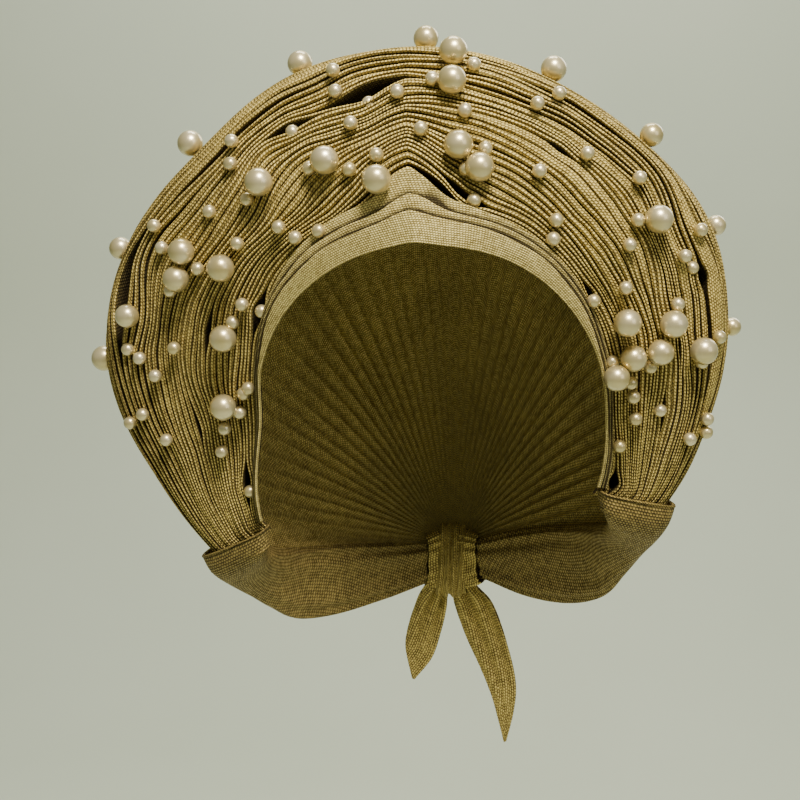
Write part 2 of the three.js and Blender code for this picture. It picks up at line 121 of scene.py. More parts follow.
def opening_y(station):
    return OPENING_Y - OPENING_FORWARD * np.sin(np.radians(clock_of(station)))


def fold_y(station, radius, behind):
    """Y of the middle of a fold that has so many folds in front of it."""
    lean = FOLD_LEAN * (radius - radii_at(station)[..., 0])
    return opening_y(station) + FOLD_THICK / 2 + FOLD_SPACING * behind + lean


def drift(seed, along, across, spacing, size):
    """Smooth random unevenness over two directions, up to about size, with a new value per spacing."""
    random = np.random.default_rng(seed)
    a, b = np.asarray(along) / spacing[0], np.asarray(across) / spacing[1]
    a, b = a - a.min() + 0.01, b - b.min() + 0.01
    knots = random.uniform(-size, size, (int(a.max()) + 4, int(b.max()) + 4))
    total = np.zeros(np.broadcast(a, b).shape)
    ia, ib = a.astype(int), b.astype(int)

    def weigh(off):  # the quadratic B-spline
        off = np.minimum(np.abs(off), 1.5)
        return np.where(off < 0.5, 0.75 - off ** 2, 0.5 * (1.5 - off) ** 2)

    for i in range(3):
        for j in range(3):
            total = total + knots[ia + i, ib + j] * weigh(a - ia - i + 0.5) * weigh(b - ib - j + 0.5)
    return total * 1.6  # the blend evens the values out, and this brings them back to about size


THREADS_MM = 0.1  # units of the cloth's UV map to a millimetre of cloth


def grid_mesh(name, points, threads, around=False, painted_crevice_shade=None):
    """An object from rows of points in millimetres. Threads are the places of the points in the flat
    cloth, in millimetres along and across it, with one more in a row that goes around. Painted crevice
    shade is how much shade is painted into the cloth's colour, from 0 in the open to 1 deep between two
    folds."""
    rows, across = points.shape[:2]
    index = np.arange(rows * across).reshape(rows, across)
    if around:
        index = np.hstack([index, index[:, :1]])

    def corners(grid):
        return np.stack([grid[:-1, :-1], grid[1:, :-1], grid[1:, 1:], grid[:-1, 1:]], axis=-1)

    mesh = bpy.data.meshes.new(name)
    faces = corners(index).reshape(-1, 4).tolist()
    mesh.from_pydata((points.reshape(-1, 3) * 0.001).tolist(), [], faces)
    places = np.arange(threads.shape[0] * threads.shape[1]).reshape(threads.shape[:2])
    flat = threads.reshape(-1, 2)[corners(places).reshape(-1)] * THREADS_MM
    mesh.uv_layers.new(name="threads").data.foreach_set("uv", flat.reshape(-1))
    mesh.shade_smooth()
    if painted_crevice_shade is not None:
        shade = mesh.attributes.new("painted_crevice_shade", "FLOAT", "POINT")
        shade.data.foreach_set("value", np.clip(painted_crevice_shade, 0, 1).reshape(-1).astype(np.float32))
    piece = bpy.data.objects.new(name, mesh)
    bpy.context.collection.objects.link(piece)
    return piece


def running_length(points, axis):
    """How far along its row or column each point lies, in millimetres."""
    steps = np.linalg.norm(np.diff(points, axis=axis), axis=-1)
    total = np.cumsum(steps, axis=axis)
    start = np.zeros_like(np.take(total, [0], axis=axis))
    return np.concatenate([start, total], axis=axis)


def linear(hex_colour):
    """An sRGB hex colour as the linear values that a shader takes."""
    channels = [int(hex_colour[i:i + 2], 16) / 255 for i in (1, 3, 5)]
    return [c / 12.92 if c <= 0.04045 else ((c + 0.055) / 1.055) ** 2.4 for c in channels] + [1.0]


def add_node(tree, kind, inputs=(), **settings):
    """Adds a shader node with its settings. An input that is a node or one of its outputs is linked."""
    node = tree.nodes.new("ShaderNode" + kind)
    for key, value in settings.items():
        setattr(node, key, value)
    for key, value in dict(inputs).items():
        if isinstance(value, bpy.types.Node):
            value = value.outputs[0]
        if isinstance(value, bpy.types.NodeSocket):
            tree.links.new(value, node.inputs[key])
        else:
            node.inputs[key].default_value = value
    return node


# Stiffened cotton woven with a metallic thread: matt, with a faint glint on the threads. Plump wefts show
# as rows of small slanting beads, each row half a bead on from the next, with thin dark lines between.
# The beads' relief is a bump, and over it shade is painted into the lines and light onto each bead's
# crown.
# Each bead takes in two or three real threads, because one alone is too fine to show.
BEAD_LONG, BEAD_ROW = 1.55, 1.25  # millimetres along and across the cloth
BEAD_STEP = 0.5  # how far each row of beads is set on from the last, in beads
BEAD_PLUMP, ROW_PLUMP = 0.75, 0.9  # powers on the arch along and across a bead: below 1 is plumper
SEAM_SHADE, CROWN_SHADE = 0.04, 0.95  # painted shade from dark (0) to painted light (1), beside and on top of a bead
BEAD_CHANCE, FIBRE_SHADE = 0.4, 1.2  # how far single beads and fibres differ in shade
FIBRES, SLUBS = 26.0, 1.3  # how many to a centimetre of cloth
PATCHES = 26.0  # how many to a metre
WORN, FRESH = 0.88, 1.08  # how light the patches of the cloth are
# The colour and strength of the shade painted deep between two folds.
CREVICE_SHADE_COLOUR, CREVICE_SHADE_DARK = "#22170a", 0.93
THREAD_ROUGH, GLINT_ROUGH = 0.8, 0.46


def woven_cloth(name, light, dark, bead=BEAD_LONG, row=BEAD_ROW, relief=0.0004, slant=0.3):
    """The cloth with beads and rows of so many millimetres, a relief in metres, and the beads' slant
    as a share of a bead for each row."""
    material = bpy.data.materials.new(name)
    material.use_nodes = True
    tree = material.node_tree
    tree.nodes.clear()
    place = add_node(tree, "UVMap", uv_map="threads")
    # Slubs push the threads aside by up to half a millimetre.
    slub = add_node(tree, "TexNoise", {"Vector": place, "Scale": SLUBS, "Detail": 2.0})
    uneven = add_node(tree, "VectorMath", {0: slub.outputs["Color"], 1: (0.5, 0.5, 0.5)},
                      operation="SUBTRACT")
    moved = add_node(tree, "VectorMath", {0: uneven, 1: (0.09, 0.05, 0.0), 2: place},
                     operation="MULTIPLY_ADD")
    along = add_node(tree, "SeparateXYZ", {0: moved})
    rows = add_node(tree, "Math", {0: along.outputs["Y"], 1: 1 / (THREADS_MM * row)}, operation="MULTIPLY")
    number = add_node(tree, "Math", {0: rows}, operation="FLOOR")
    offset = add_node(tree, "Math", {0: number, 1: BEAD_STEP}, operation="MULTIPLY")
    leaning = add_node(tree, "Math", {0: rows, 1: slant, 2: offset}, operation="MULTIPLY_ADD")
    beads = add_node(tree, "Math", {0: along.outputs["X"], 1: 1 / (THREADS_MM * bead), 2: leaning},
                     operation="MULTIPLY_ADD")
    cell = add_node(tree, "CombineXYZ", {"X": beads, "Y": rows})
    corner = add_node(tree, "VectorMath", {0: cell}, operation="FLOOR")
    within = add_node(tree, "VectorMath", {0: cell}, operation="FRACTION")
    angle = add_node(tree, "VectorMath", {0: within, 1: (math.pi, math.pi, 0.0)}, operation="MULTIPLY")
    arch = add_node(tree, "VectorMath", {0: angle}, operation="SINE")
    arches = add_node(tree, "SeparateXYZ", {0: arch})
    long_way = add_node(tree, "Math", {0: arches.outputs["X"], 1: BEAD_PLUMP}, operation="POWER")
    short_way = add_node(tree, "Math", {0: arches.outputs["Y"], 1: ROW_PLUMP}, operation="POWER")
    plump = add_node(tree, "Math", {0: long_way, 1: short_way}, operation="MULTIPLY")
    chance = add_node(tree, "TexWhiteNoise", {"Vector": corner}, noise_dimensions="2D")
    fibres = add_node(tree, "TexNoise", {
        "Vector": place, "Scale": FIBRES, "Detail": 4.0, "Roughness": 0.65})
    worn = add_node(tree, "TexCoord")
    patches = add_node(tree, "TexNoise", {
        "Vector": worn.outputs["Object"], "Scale": PATCHES, "Detail": 2.0})
    shade = add_node(tree, "MapRange", {0: plump, 1: 0.05, 2: 0.85, 3: SEAM_SHADE, 4: CROWN_SHADE})
    lift = add_node(tree, "Math", {0: chance.outputs["Value"], 1: BEAD_CHANCE, 2: -BEAD_CHANCE / 2},
                    operation="MULTIPLY_ADD")
    lit = add_node(tree, "Math", {0: shade, 1: lift}, operation="ADD")
    fuzz = add_node(tree, "Math", {0: fibres.outputs["Fac"], 1: FIBRE_SHADE, 2: -FIBRE_SHADE / 2},
                    operation="MULTIPLY_ADD")
    mixed = add_node(tree, "Math", {0: lit, 1: fuzz}, operation="ADD", use_clamp=True)
    thread = add_node(tree, "Mix", {0: mixed, 6: linear(dark), 7: linear(light)}, data_type="RGBA")
    tone = add_node(tree, "MapRange", {0: patches.outputs["Fac"], 1: 0.3, 2: 0.7, 3: WORN, 4: FRESH})
    colour = add_node(tree, "VectorMath", {0: thread.outputs[2], "Scale": tone}, operation="SCALE")
    # Little light reaches the cloth deep between two folds, so shade is painted there: the colour is
    # darkened and the glint taken off.
    painted_crevice_shade = add_node(tree, "Attribute", attribute_name="painted_crevice_shade")
    hidden = add_node(tree, "Math", {0: painted_crevice_shade.outputs["Fac"], 1: CREVICE_SHADE_DARK}, operation="MULTIPLY")
    shaded = add_node(tree, "Mix", {0: hidden, 6: colour, 7: linear(CREVICE_SHADE_COLOUR)}, data_type="RGBA")
    height = add_node(tree, "Math", {0: fibres.outputs["Fac"], 1: 0.25, 2: plump},
                      operation="MULTIPLY_ADD")
    bump = add_node(tree, "Bump", {"Height": height, "Distance": relief, "Strength": 1.0})
    glint = add_node(tree, "MapRange", {0: mixed, 1: 0.0, 2: 1.0, 3: THREAD_ROUGH, 4: GLINT_ROUGH})
    matt = add_node(tree, "Math", {0: glint, 1: painted_crevice_shade.outputs["Fac"]}, operation="ADD", use_clamp=True)
    shader = add_node(tree, "BsdfPrincipled", {
        "Base Color": shaded.outputs[2], "Roughness": matt, "Normal": bump,
        "Specular IOR Level": 0.25, "IOR": 1.5, "Metallic": 0.15})
    add_node(tree, "OutputMaterial", {"Surface": shader})
    return material


gele_cloth = woven_cloth("gold_khaki_weave", "#ecd176", "#4a350f")
# The smooth faces of the folds show the same cloth drawn tight, so its beads are smaller; its colours
# are paler, with lighter shade painted between the beads.
face_cloth = woven_cloth("gold_khaki_face_weave", "#eeda8a", "#705b27", 1.0, 0.9, 0.0003, 0.3)

# Each fold's folded edge is its own column of the table, and it lies behind the folds before it.
FOLD_NODES = [("forehead_fold_lower", 1), ("forehead_fold_middle", 2), ("forehead_fold_upper", 3)]
FOLD_STATIONS = 421
FOLD_FACE, FOLD_BACK = 42, 12  # points up the face of the doubled strip, and down its back
FOLD_LEAST = 1.3  # the narrowest that a fold gets, in millimetres
FOLD_BELLY, FOLD_WAVE = 0.35, 0.35  # how far its face swells and how far it wavers, in millimetres
CREASE, CREASE_SPREAD = 1.6, 5  # how far the pinch at the peak stands forward (mm), and over how much
SHADOW, SHADOW_MM = 2.6, 0.7  # how dark and how deep the painted shadow line is where a fold leaves the one before it
POCKET_SHADOW_CLOCK, POCKET_SHADOW_SPREAD, POCKET_SHADOW_MM = 85.5, 3.5, 2.0  # beside the peak the painted shadow on the upper fold reaches further

fold_face = np.linspace(0, 1, FOLD_FACE)
fold_back = np.linspace(1, 2, FOLD_BACK + 1)[1:]
turn = np.concatenate([fold_face, fold_back])[None, :] * math.pi
for behind, (node, edge) in enumerate(FOLD_NODES):
    station = np.linspace(0, 1, FOLD_STATIONS)[:, None]
    clock = clock_of(station)
    radii = radii_at(station[:, 0])
    inner = radii[:, 0:1] + 0.5 * behind
    outer = radii[:, edge:edge + 1] + drift(11 + behind, clock, 0.0, (7, 1), 0.3)
    height = np.maximum(outer - inner, FOLD_LEAST)
    thick = np.minimum(FOLD_THICK, height * 0.8)
    # A stretched circle: straight along the face and the back, and round at both edges.
    up = 0.5 - 0.5 * np.sign(np.cos(turn)) * np.abs(np.cos(turn)) ** 0.72
    side = -np.sign(np.sin(turn)) * np.minimum(1.0, np.abs(np.sin(turn)) * 2.6) ** 0.5
    radius = inner + up * height
    belly = FOLD_BELLY * np.sin(math.pi * up) * (side < 0)
    crease = CREASE * np.exp(-np.abs(clock - PEAK_CLOCK + 1) / CREASE_SPREAD) * (1 - 0.3 * behind)
    wave = drift(21 + behind, clock, up * 1.0, (16, 0.6), FOLD_WAVE)
    y = fold_y(station, radius, behind) + side * thick / 2 - belly - crease + wave
    points = round_the_opening(station, radius, y)
    # A shadow is painted on the face below the folded edge of the one before it, and the back is all
    # painted in shade.
    before = radii[:, edge - 1:edge] if behind else radii[:, 0:1] - 9
    pocket_shadow = POCKET_SHADOW_MM * np.exp(-((clock - POCKET_SHADOW_CLOCK) / POCKET_SHADOW_SPREAD) ** 2) if behind == 2 else 0
    past_edge = np.maximum(radius - before, 0)
    painted_crevice_shade = SHADOW * np.exp(-past_edge / (SHADOW_MM + pocket_shadow)) + (side > 0.4)
    middle = running_length(points[:, :1], 0)
    lengthwise = np.repeat(middle, FOLD_FACE + FOLD_BACK, axis=1)
    threads = np.stack([lengthwise, running_length(points, 1) + 40 * behind], axis=-1)
    fold = grid_mesh(node + "_cloth", points, threads, painted_crevice_shade=painted_crevice_shade)
    fold.data.materials.append(face_cloth)
    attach(fold, "root")
    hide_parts(node)
    length = float(middle[-1, 0]) / 1000

# ---------------------------------------------------------------- pleated halo
# The body of the tie: one length of the same cloth in about thirty narrow pleats, stacked edge outwards
# and fanned round the opening from wrap to wrap. Pulling and pinning leaves some bundles swinging
# aside, some faces lying open and a few eye-shaped gaps.

# Where nine guide lines run between the folds (0) and the back of the rim (1), at clock angles.
GUIDES = (0.0, 0.12, 0.28, 0.42, 0.54, 0.64, 0.74, 0.86, 1.0)
FLOW = np.array([
    (-33.2, 0.0, .27, .40, .50, .59, .67, .76, .87, 1.0),
    (-22, 0.0, .15, .30, .43, .54, .63, .74, .86, 1.0),
    (-12, 0.0, .10, .27, .43, .53, .63, .73, .87, 1.0),
    (5, 0.0, .13, .30, .41, .50, .62, .74, .88, 1.0),
    (18, 0.0, .12, .27, .37, .47, .60, .72, .87, 1.0),
    (28, 0.0, .09, .24, .36, .50, .61, .70, .85, 1.0),
    (40, 0.0, .08, .22, .38, .52, .66, .77, .88, 1.0),
    (55, 0.0, .09, .24, .39, .53, .64, .75, .86, 1.0),
    (70, 0.0, .07, .25, .42, .55, .64, .75, .86, 1.0),
    (82, 0.0, .10, .26, .42, .55, .65, .76, .87, 1.0),
    (95, 0.0, .15, .29, .40, .50, .62, .74, .86, 1.0),
    (104, 0.0, .17, .31, .41, .48, .60, .74, .87, 1.0),
    (112, 0.0, .10, .30, .42, .50, .62, .72, .86, 1.0),
    (120, 0.0, .06, .25, .46, .54, .63, .73, .87, 1.0),
    (127, 0.0, .07, .20, .44, .56, .64, .73, .86, 1.0),
    (137, 0.0, .10, .20, .34, .48, .60, .72, .85, 1.0),
    (148, 0.0, .13, .24, .33, .45, .60, .73, .86, 1.0),
    (160, 0.0, .12, .27, .40, .52, .65, .78, .88, 1.0),
    (172, 0.0, .11, .28, .42, .55, .63, .72, .88, 1.0),
    (180, 0.0, .10, .29, .44, .54, .65, .75, .86, 1.0),
    (195, 0.0, .13, .28, .41, .54, .64, .74, .86, 1.0),
    (222.2, 0.0, .12, .28, .42, .54, .64, .74, .86, 1.0),
])
# Gaps between two pleats: where, how long (degrees), how wide, and how deep in millimetres.
GAPS = [
    # clock, place, long, wide, deep
    (102, .600, 6.0, .045, 14),
    (119.5, .612, 4.2, .026, 12),
    (168, .825, 9, .040, 16),
    (171.5, .330, 4.5, .014, 10),
    (161.5, .060, 5, .030, 12),
    (213, .130, 3.5, .045, 12),
    (17.5, .745, 2.2, .022, 9),
    (-11, .470, 3.2, .018, 7),
    (-31.5, .110, 2.2, .060, 9),
    (84, .035, 6.5, .040, 14),
    (79.5, .085, 3.5, .018, 10),
    (58.5, .520, 3, .012, 7),
    (73.5, .055, 3, .020, 7),
    (25, .075, 4, .018, 7),
    (4, .560, 4, .014, 6),
    (196, .460, 3.5, .010, 6),
]
# Bundles that lie deeper than the rest: where, how far round (degrees) and across, and how many mm.
DIPS = [
    # clock, place, round, across, deep
    (118, .33, 7, .06, 2.6),
    (124, .52, 6, .05, 2.0),
    (170, .56, 10, .07, 2.2),
    (60, .68, 18, .035, 2.4),
    (100, .73, 14, .03, 2.2),
    (95, .37, 16, .03, 1.6),
    (10, .60, 10, .05, 1.6),
    (22, .10, 8, .05, 2.2),
    (150, .18, 8, .05, 1.8),
    (205, .20, 8, .06, 1.2),
    (186, .42, 9, .06, 1.4),
    # The outermost pleats belly out, most on the right.
    (178, .88, 26, .13, -4.5),
    (90, .90, 40, .12, -2.2),
    (0, .88, 26, .12, -2.0),
]
PLEATS = 34
PLEAT_SHIFT = 31.7  # how far on in the weave each pleat starts, in millimetres
HALO_STATIONS = 421
HALO_RUN_IN = 0.012  # how far the gathered ends run on in the wraps, as a share of the way round
GROOVE_LEAST, GROOVE_MOST = 2.2, 4.6  # how deep the grooves between pleats are, in millimetres


def rim_y(station):
    return -15 - 15 * np.sin(np.radians(clock_of(station)))


def rim_turn(station):
    """How far the cloth goes on back past the rim, in millimetres: more at the top than at the ends."""
    return 6 + 8 * np.sin(np.pi * np.clip(station, 0, 1)) ** 0.5


def halo_guides(station):
    """The four guide points of the halo's profile, as radius and Y."""
    radii = radii_at(station)
    upper, rim = radii[..., 3], radii[..., 4]
    start_y = fold_y(station, upper, 2) + FOLD_THICK / 2 + 0.3
    start = upper - 2
    reach, back = rim - start, rim_y(station) - start_y
    radius = np.stack([start, start + 0.62 * reach, rim + 0.13 * reach, rim - 2], axis=-1)
    y = np.stack([start_y, start_y + 0.22 * back, rim_y(station) - 0.3 * back,
                  rim_y(station) + rim_turn(station)], axis=-1)
    return np.stack([radius, y], axis=-1)


def bezier(guides, t):
    t = np.asarray(t, float)[..., None]
    return ((1 - t) ** 3 * guides[..., 0, :] + 3 * (1 - t) ** 2 * t * guides[..., 1, :]
            + 3 * (1 - t) * t ** 2 * guides[..., 2, :] + t ** 3 * guides[..., 3, :])


FRONT_SQUEEZE = 0.45  # what a step back counts for, beside a step outwards, as the front shows it
NOTCH_LEAN = math.radians(30)
LEAN_FROM, LEAN_OVER = 0.6, 0.22  # places between which the notches come to lean


def halo_place(station, place, depth, notch=None, by_arc=False):
    """Points of the halo: place is 0 at the folds and 1 behind the rim, and depth is below the crests.
    Places are even as the front shows them, or along the arc of the profile. A notch goes deeper
    still, and leans back near the rim, because the outermost pleats stand forward there."""
    guides = halo_guides(station)
    fine = np.linspace(0, 1, 301)
    squeeze = 1.0 if by_arc else FRONT_SQUEEZE
    points = np.empty(place.shape + (3,))
    for k in range(len(station)):
        curve = bezier(guides[k][None], fine)
        steps = np.diff(curve, axis=0)
        run = np.concatenate([[0], np.cumsum(np.hypot(steps[:, 0], squeeze * steps[:, 1]))])
        t = np.interp(place[k], run / run[-1], fine)
        at = bezier(guides[k][None], t)
        ahead = bezier(guides[k][None], np.minimum(t + 0.002, 1))
        back = bezier(guides[k][None], np.maximum(t - 0.002, 0))
        way = (ahead - back) / np.linalg.norm(ahead - back, axis=-1, keepdims=True)
        inward = np.stack([-way[:, 1], way[:, 0]], axis=-1)
        at = at + inward * depth[k][:, None]
        if notch is not None:
            leaning = NOTCH_LEAN * np.clip((place[k] - LEAN_FROM) / LEAN_OVER, 0, 1)[:, None]
            at = at + (inward * np.cos(leaning) + way * np.sin(leaning)) * notch[k][:, None]
        points[k] = round_the_opening(np.full(len(at), station[k]), at[:, 0], at[:, 1])
    return points


station = np.linspace(-HALO_RUN_IN, 1 + HALO_RUN_IN, HALO_STATIONS)
clock = clock_of(station)
profiles = np.array([bezier(halo_guides(s)[None], np.linspace(0, 1, 60)) for s in station])
mm_per_place = np.linalg.norm(np.diff(profiles, axis=1), axis=-1).sum(axis=1)

# Each pleat's own width. On the left (+X) the faces lie open, so widths there differ more.
openness = 0.14 + 0.65 * np.exp(-((clock - 5) / 34) ** 2) + 0.35 * np.exp(-((clock - 62) / 22) ** 2)
pleat = np.arange(PLEATS)[None, :] * 1.0
chance = drift(5, clock[:, None], pleat, (34, 0.7), 1.0)
widths = np.exp(openness[:, None] * 1.3 * chance)
edges = np.concatenate([np.zeros((HALO_STATIONS, 1)), np.cumsum(widths, axis=1)], axis=1)
edges /= edges[:, -1:]
flow = table_curve(FLOW, clock)
edges = np.array([np.interp(edges[k], GUIDES, flow[k]) for k in range(HALO_STATIONS)])
sway = drift(6, clock[:, None], edges * 100, (9, 9), 0.012)
sway = sway + drift(16, clock[:, None], edges * 100, (4, 7), 0.004)
sway = sway * np.sin(math.pi * np.clip(edges, 0, 1))
edges = edges + sway
sink = np.maximum(drift(7, clock[:, None], edges * 100, (15, 10), 0.9) + 0.5, -0.4)
for at, place, round_it, across, deep in DIPS:
    off = ((clock[:, None] - at) / round_it) ** 2 + ((edges - place) / across) ** 2
    sink = sink + deep * np.exp(-off)
low, high = edges.copy(), edges.copy()  # the two sides of each groove
groove = 1.6 * np.diff(edges, axis=1, append=edges[:, -1:] + 0.03) * mm_per_place[:, None]
groove = np.clip(groove, GROOVE_LEAST, GROOVE_MOST)
for at, place, long, wide, deep in GAPS:
    row = int(np.argmin(np.abs(clock - at)))
    between = 1 + int(np.argmin(np.abs(edges[row, 1:-1] - place)))
    swell = np.exp(-((clock - at) / long) ** 2)
    # The pleats on both sides bow away, less and less with distance from the gap.
    away = edges - edges[:, between:between + 1]
    fade = np.exp(-np.abs(away) / (2.2 * wide + 0.03)) * swell[:, None]
    edge_number = np.arange(PLEATS + 1)[None, :]
    low = low - np.where(edge_number <= between, wide * fade, -wide * fade)
    high = high + np.where(edge_number >= between, wide * fade, -wide * fade)
    groove[:, between] += (deep - groove[:, between]) * swell ** 0.5

# Half of a pleat's section, from the middle of the groove up to its crest: slits and bends in from the
# side, depth in bends, share of the groove's depth, and how dark the shade painted there is.
PLEAT_SIDE = [(0, 0, 0, 1.0, 1), (1, 0, 0, 0.45, 1), (1, 0.02, 1.5, 0, 0.8), (1, 0.06, 0.95, 0, 0.35),
              (1, 0.28, 0.42, 0, 0.1), (1, 0.62, 0.1, 0, 0.01)]
section = [(1, *row) for row in PLEAT_SIDE] + [(0, 0, 0, 0, 0, 0)]
section += [(-1, *row) for row in PLEAT_SIDE[::-1]]
per_pleat = len(section)

places, depths, notches, painted_crevice_shades = [], [], [], []
pleat_sink = drift(8, clock[:, None], pleat, (18, 0.6), 0.8)
tilt = drift(9, clock[:, None], pleat, (30, 0.8), 0.24)
for i in range(PLEATS):
    start, end = high[:, i], low[:, i + 1]
    wide = np.maximum(end - start, 0.004)
    wide_mm = wide * mm_per_place
    rest = (sink[:, i] + sink[:, i + 1]) / 2 + pleat_sink[:, i]
    bend = np.minimum(0.43 * wide_mm, 0.8 + 0.4 * (1 - openness))  # radius of the folded edge
    slit = np.minimum(0.1 * wide_mm, 0.26)  # half the width of the groove
    lean = tilt[:, i] * wide_mm
    packed = (i / PLEATS) ** 4  # the outermost pleats are packed tightest, so more shade is painted on them
    for way, slits, bends_in, bends, grooves, dark in section:
        near = groove[:, i] if way > 0 else groove[:, i + 1]
        inward = np.minimum((slits * slit + bends_in * bend) / wide_mm, 0.48)
        share = 0.5 if way == 0 else inward if way > 0 else 1 - inward
        places.append(start + share * wide)
        depths.append(rest + lean * (share - 0.5) * (grooves == 0))
        notches.append(bends * bend + grooves * near)
        painted_crevice_shades.append(np.full(HALO_STATIONS, float(dark) ** (1 - 0.4 * packed)))
painted_crevice_shade = np.stack(painted_crevice_shades, axis=1)
points = halo_place(station, *(np.stack(rows, axis=1) for rows in (places, depths, notches)))
crest = per_pleat // 2
middle = points[:, crest::per_pleat]
threads = np.empty(points.shape[:2] + (2,))
for i in range(PLEATS):
    part = slice(i * per_pleat, (i + 1) * per_pleat)
    across = running_length(points[:, part], 1)
    # A whole row of beads lies along each crest, and the next pleat starts at other beads.
    threads[:, part, 1] = across - across[:, crest:crest + 1] + BEAD_ROW * (8 * i + 0.5)
    threads[:, part, 0] = running_length(middle[:, i:i + 1], 0) + PLEAT_SHIFT * i

half = PLEATS // 2 * per_pleat
for name, part in (("inner_pleats", slice(0, half + 1)), ("outer_pleats", slice(half, None))):
    pleats = grid_mesh(name, points[:, part], threads[:, part], painted_crevice_shade=painted_crevice_shade[:, part])
    pleats.data.materials.append(gele_cloth)
    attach(pleats, "root")
    if name == "inner_pleats":
        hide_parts("pleated_halo")
    length = float(running_length(points[:, part].mean(axis=1, keepdims=True), 0)[-1, 0]) / 1000

# ---------------------------------------------------------------- crown cover
# Behind the rim the same woven cloth goes on over the crown as one hollow cap. It is smooth at the rim,
# and its fullness is drawn into gathers that deepen towards the knot at the nape.

# Two guide points as X, Y and Z, and the end as X and Z, in millimetres at clock angles.
COVER = np.array([
    (-44, 95, 28, -88, 70, 68, -110, 14, -107),
    (-33.2, 98, 26, -72, 70, 66, -94, 13, -104),
    (0, 114, 36, -10, 64, 90, -50, 11, -102),
    (45, 88, 50, 90, 46, 120, 6, 8, -101),
    (90, 0, 50, 139, 2, 140, 32, 5, -100.5),
    (135, -92, 50, 94, -42, 120, 4, 1.5, -101),
    (180, -124, 38, -14, -62, 92, -56, -1.5, -102),
    (222.2, -98, 30, -94, -66, 68, -105, -3, -105),
    (232, -97, 32, -106, -66, 70, -118, -4, -108),
])
NAPE_Y = 91  # where the cover ends
COVER_STATIONS, COVER_ALONG = 421, 111
COVER_THICK = 0.0011
GATHERS = 46

station = np.linspace(-0.03, 1.03, COVER_STATIONS)
guide = table_curve(COVER, clock_of(station))
rim = radii_at(station)[:, 4]
first = round_the_opening(station, rim - 3, rim_y(station) + rim_turn(station) - 1.5)
last = np.stack([guide[:, 6], np.full(COVER_STATIONS, NAPE_Y), guide[:, 7]], axis=-1)
guides = np.stack([first, guide[:, 0:3], guide[:, 3:6], last], axis=1)
rough = bezier(guides[:, None], np.linspace(0, 1, 240)[None, :])
length = running_length(rough, 1)
even = np.linspace(0, 1, COVER_ALONG)
surface = np.empty((COVER_STATIONS, COVER_ALONG, 3))
for k in range(COVER_STATIONS):
    for axis in range(3):
        surface[k, :, axis] = np.interp(even * length[k, -1], length[k], rough[k, :, axis])


def grid_normals(surface):
    """The direction out of a grid of points: ahead along the rows crossed with across them."""
    ahead = np.gradient(surface, axis=1)
    across = np.gradient(surface, axis=0)
    normal = np.cross(ahead, across)
    return normal / np.maximum(np.linalg.norm(normal, axis=-1, keepdims=True), 1e-9)


along = even[None, :]
clock = clock_of(station)[:, None]
wander = drift(31, clock, along * 1.0, (12, 0.35), 0.16)
phase = 2 * math.pi * (GATHERS * station[:, None] + wander * 2.2 * (1 - along))
room = np.linalg.norm(np.gradient(surface, axis=0), axis=-1) * (COVER_STATIONS - 1) / GATHERS
uneven = drift(32, clock, along * 1.0, (20, 0.3), 0.8)
strength = np.clip(0.25 + 0.75 * uneven ** 2 + along ** 1.2, 0.1, 1.3)
gather_depth = strength * np.minimum(0.34 * room, 0.5 + 3.2 * along ** 0.8)
ripple = gather_depth * (np.abs(np.sin(phase / 2)) ** 0.8 - 0.6)
slack = drift(33, clock, along * 1.0, (26, 0.25), 1.6) * np.sin(math.pi * along) ** 0.5
surface = surface + grid_normals(surface) * (ripple + slack)[..., None]
span = running_length(surface[:, :40].mean(axis=1, keepdims=True), 0)
threads = np.stack([np.repeat(span, COVER_ALONG, axis=1), running_length(surface, 1)], axis=-1)
cover = grid_mesh("crown_cover_cloth", surface, threads)
cover.data.materials.append(gele_cloth)
double = cover.modifiers.new("cloth_thickness", "SOLIDIFY")
double.thickness = COVER_THICK
double.offset = -1.0
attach(cover, "root")
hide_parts("crown_cover")

# ---------------------------------------------------------------- wraps
# On both sides the ends of the pleats are bound by a turn of the same cloth, which goes back to the
# nape. Its front edge is rolled in over a thickness of cloth, and its colours are painted darker, as
# shade.

# How far along (0 to 1), the outer and then the inner edge as X, Y and Z, and the thickness, in mm.
LEFT_WRAP = np.array([
    (0.000, 109.5, 0, -64.6, 75.5, -19, -56.3, 14),
    (0.125, 107.0, 1, -73.0, 77.0, -16, -64.0, 13.5),
    (0.250, 103.5, 8, -82.0, 80.0, -5, -70.5, 13),
    (0.375, 98.0, 18, -92.5, 81.0, 10, -76.0, 12),
    (0.500, 91.0, 30, -105.0, 78.0, 27, -81.0, 11),
    (0.625, 82.5, 44, -118.5, 70.0, 44, -85.0, 10),
    (0.750, 66.0, 60, -126.0, 56.0, 60, -89.0, 9),
    (0.875, 44.0, 77, -127.0, 38.0, 75, -95.0, 9),
    (1.000, 22.5, 89.3, -122.0, 20.6, 86.3, -102.0, 9),
])
RIGHT_WRAP = np.array([
    (0.000, -107.5, 2, -92.4, -74.5, -17, -76.4, 14),
    (0.125, -103.5, 3, -99.5, -75.5, -14, -83.0, 13.5),
    (0.250, -99.5, 11, -106.5, -78.0, -3, -88.0, 13),
    (0.375, -93.0, 22, -115.5, -78.0, 11, -92.0, 12),
    (0.500, -84.0, 35, -126.0, -74.0, 28, -95.5, 11),
    (0.625, -73.0, 48, -135.5, -65.0, 45, -98.0, 10),
    (0.750, -55.0, 64, -137.0, -48.0, 61, -100.0, 9),
    (0.875, -32.0, 80, -132.0, -28.0, 77, -103.0, 9),
    (1.000, -10.7, 91.2, -125.0, -9.7, 88.2, -104.0, 9),
])
WRAP_ALONG, WRAP_ROUND = 121, 96
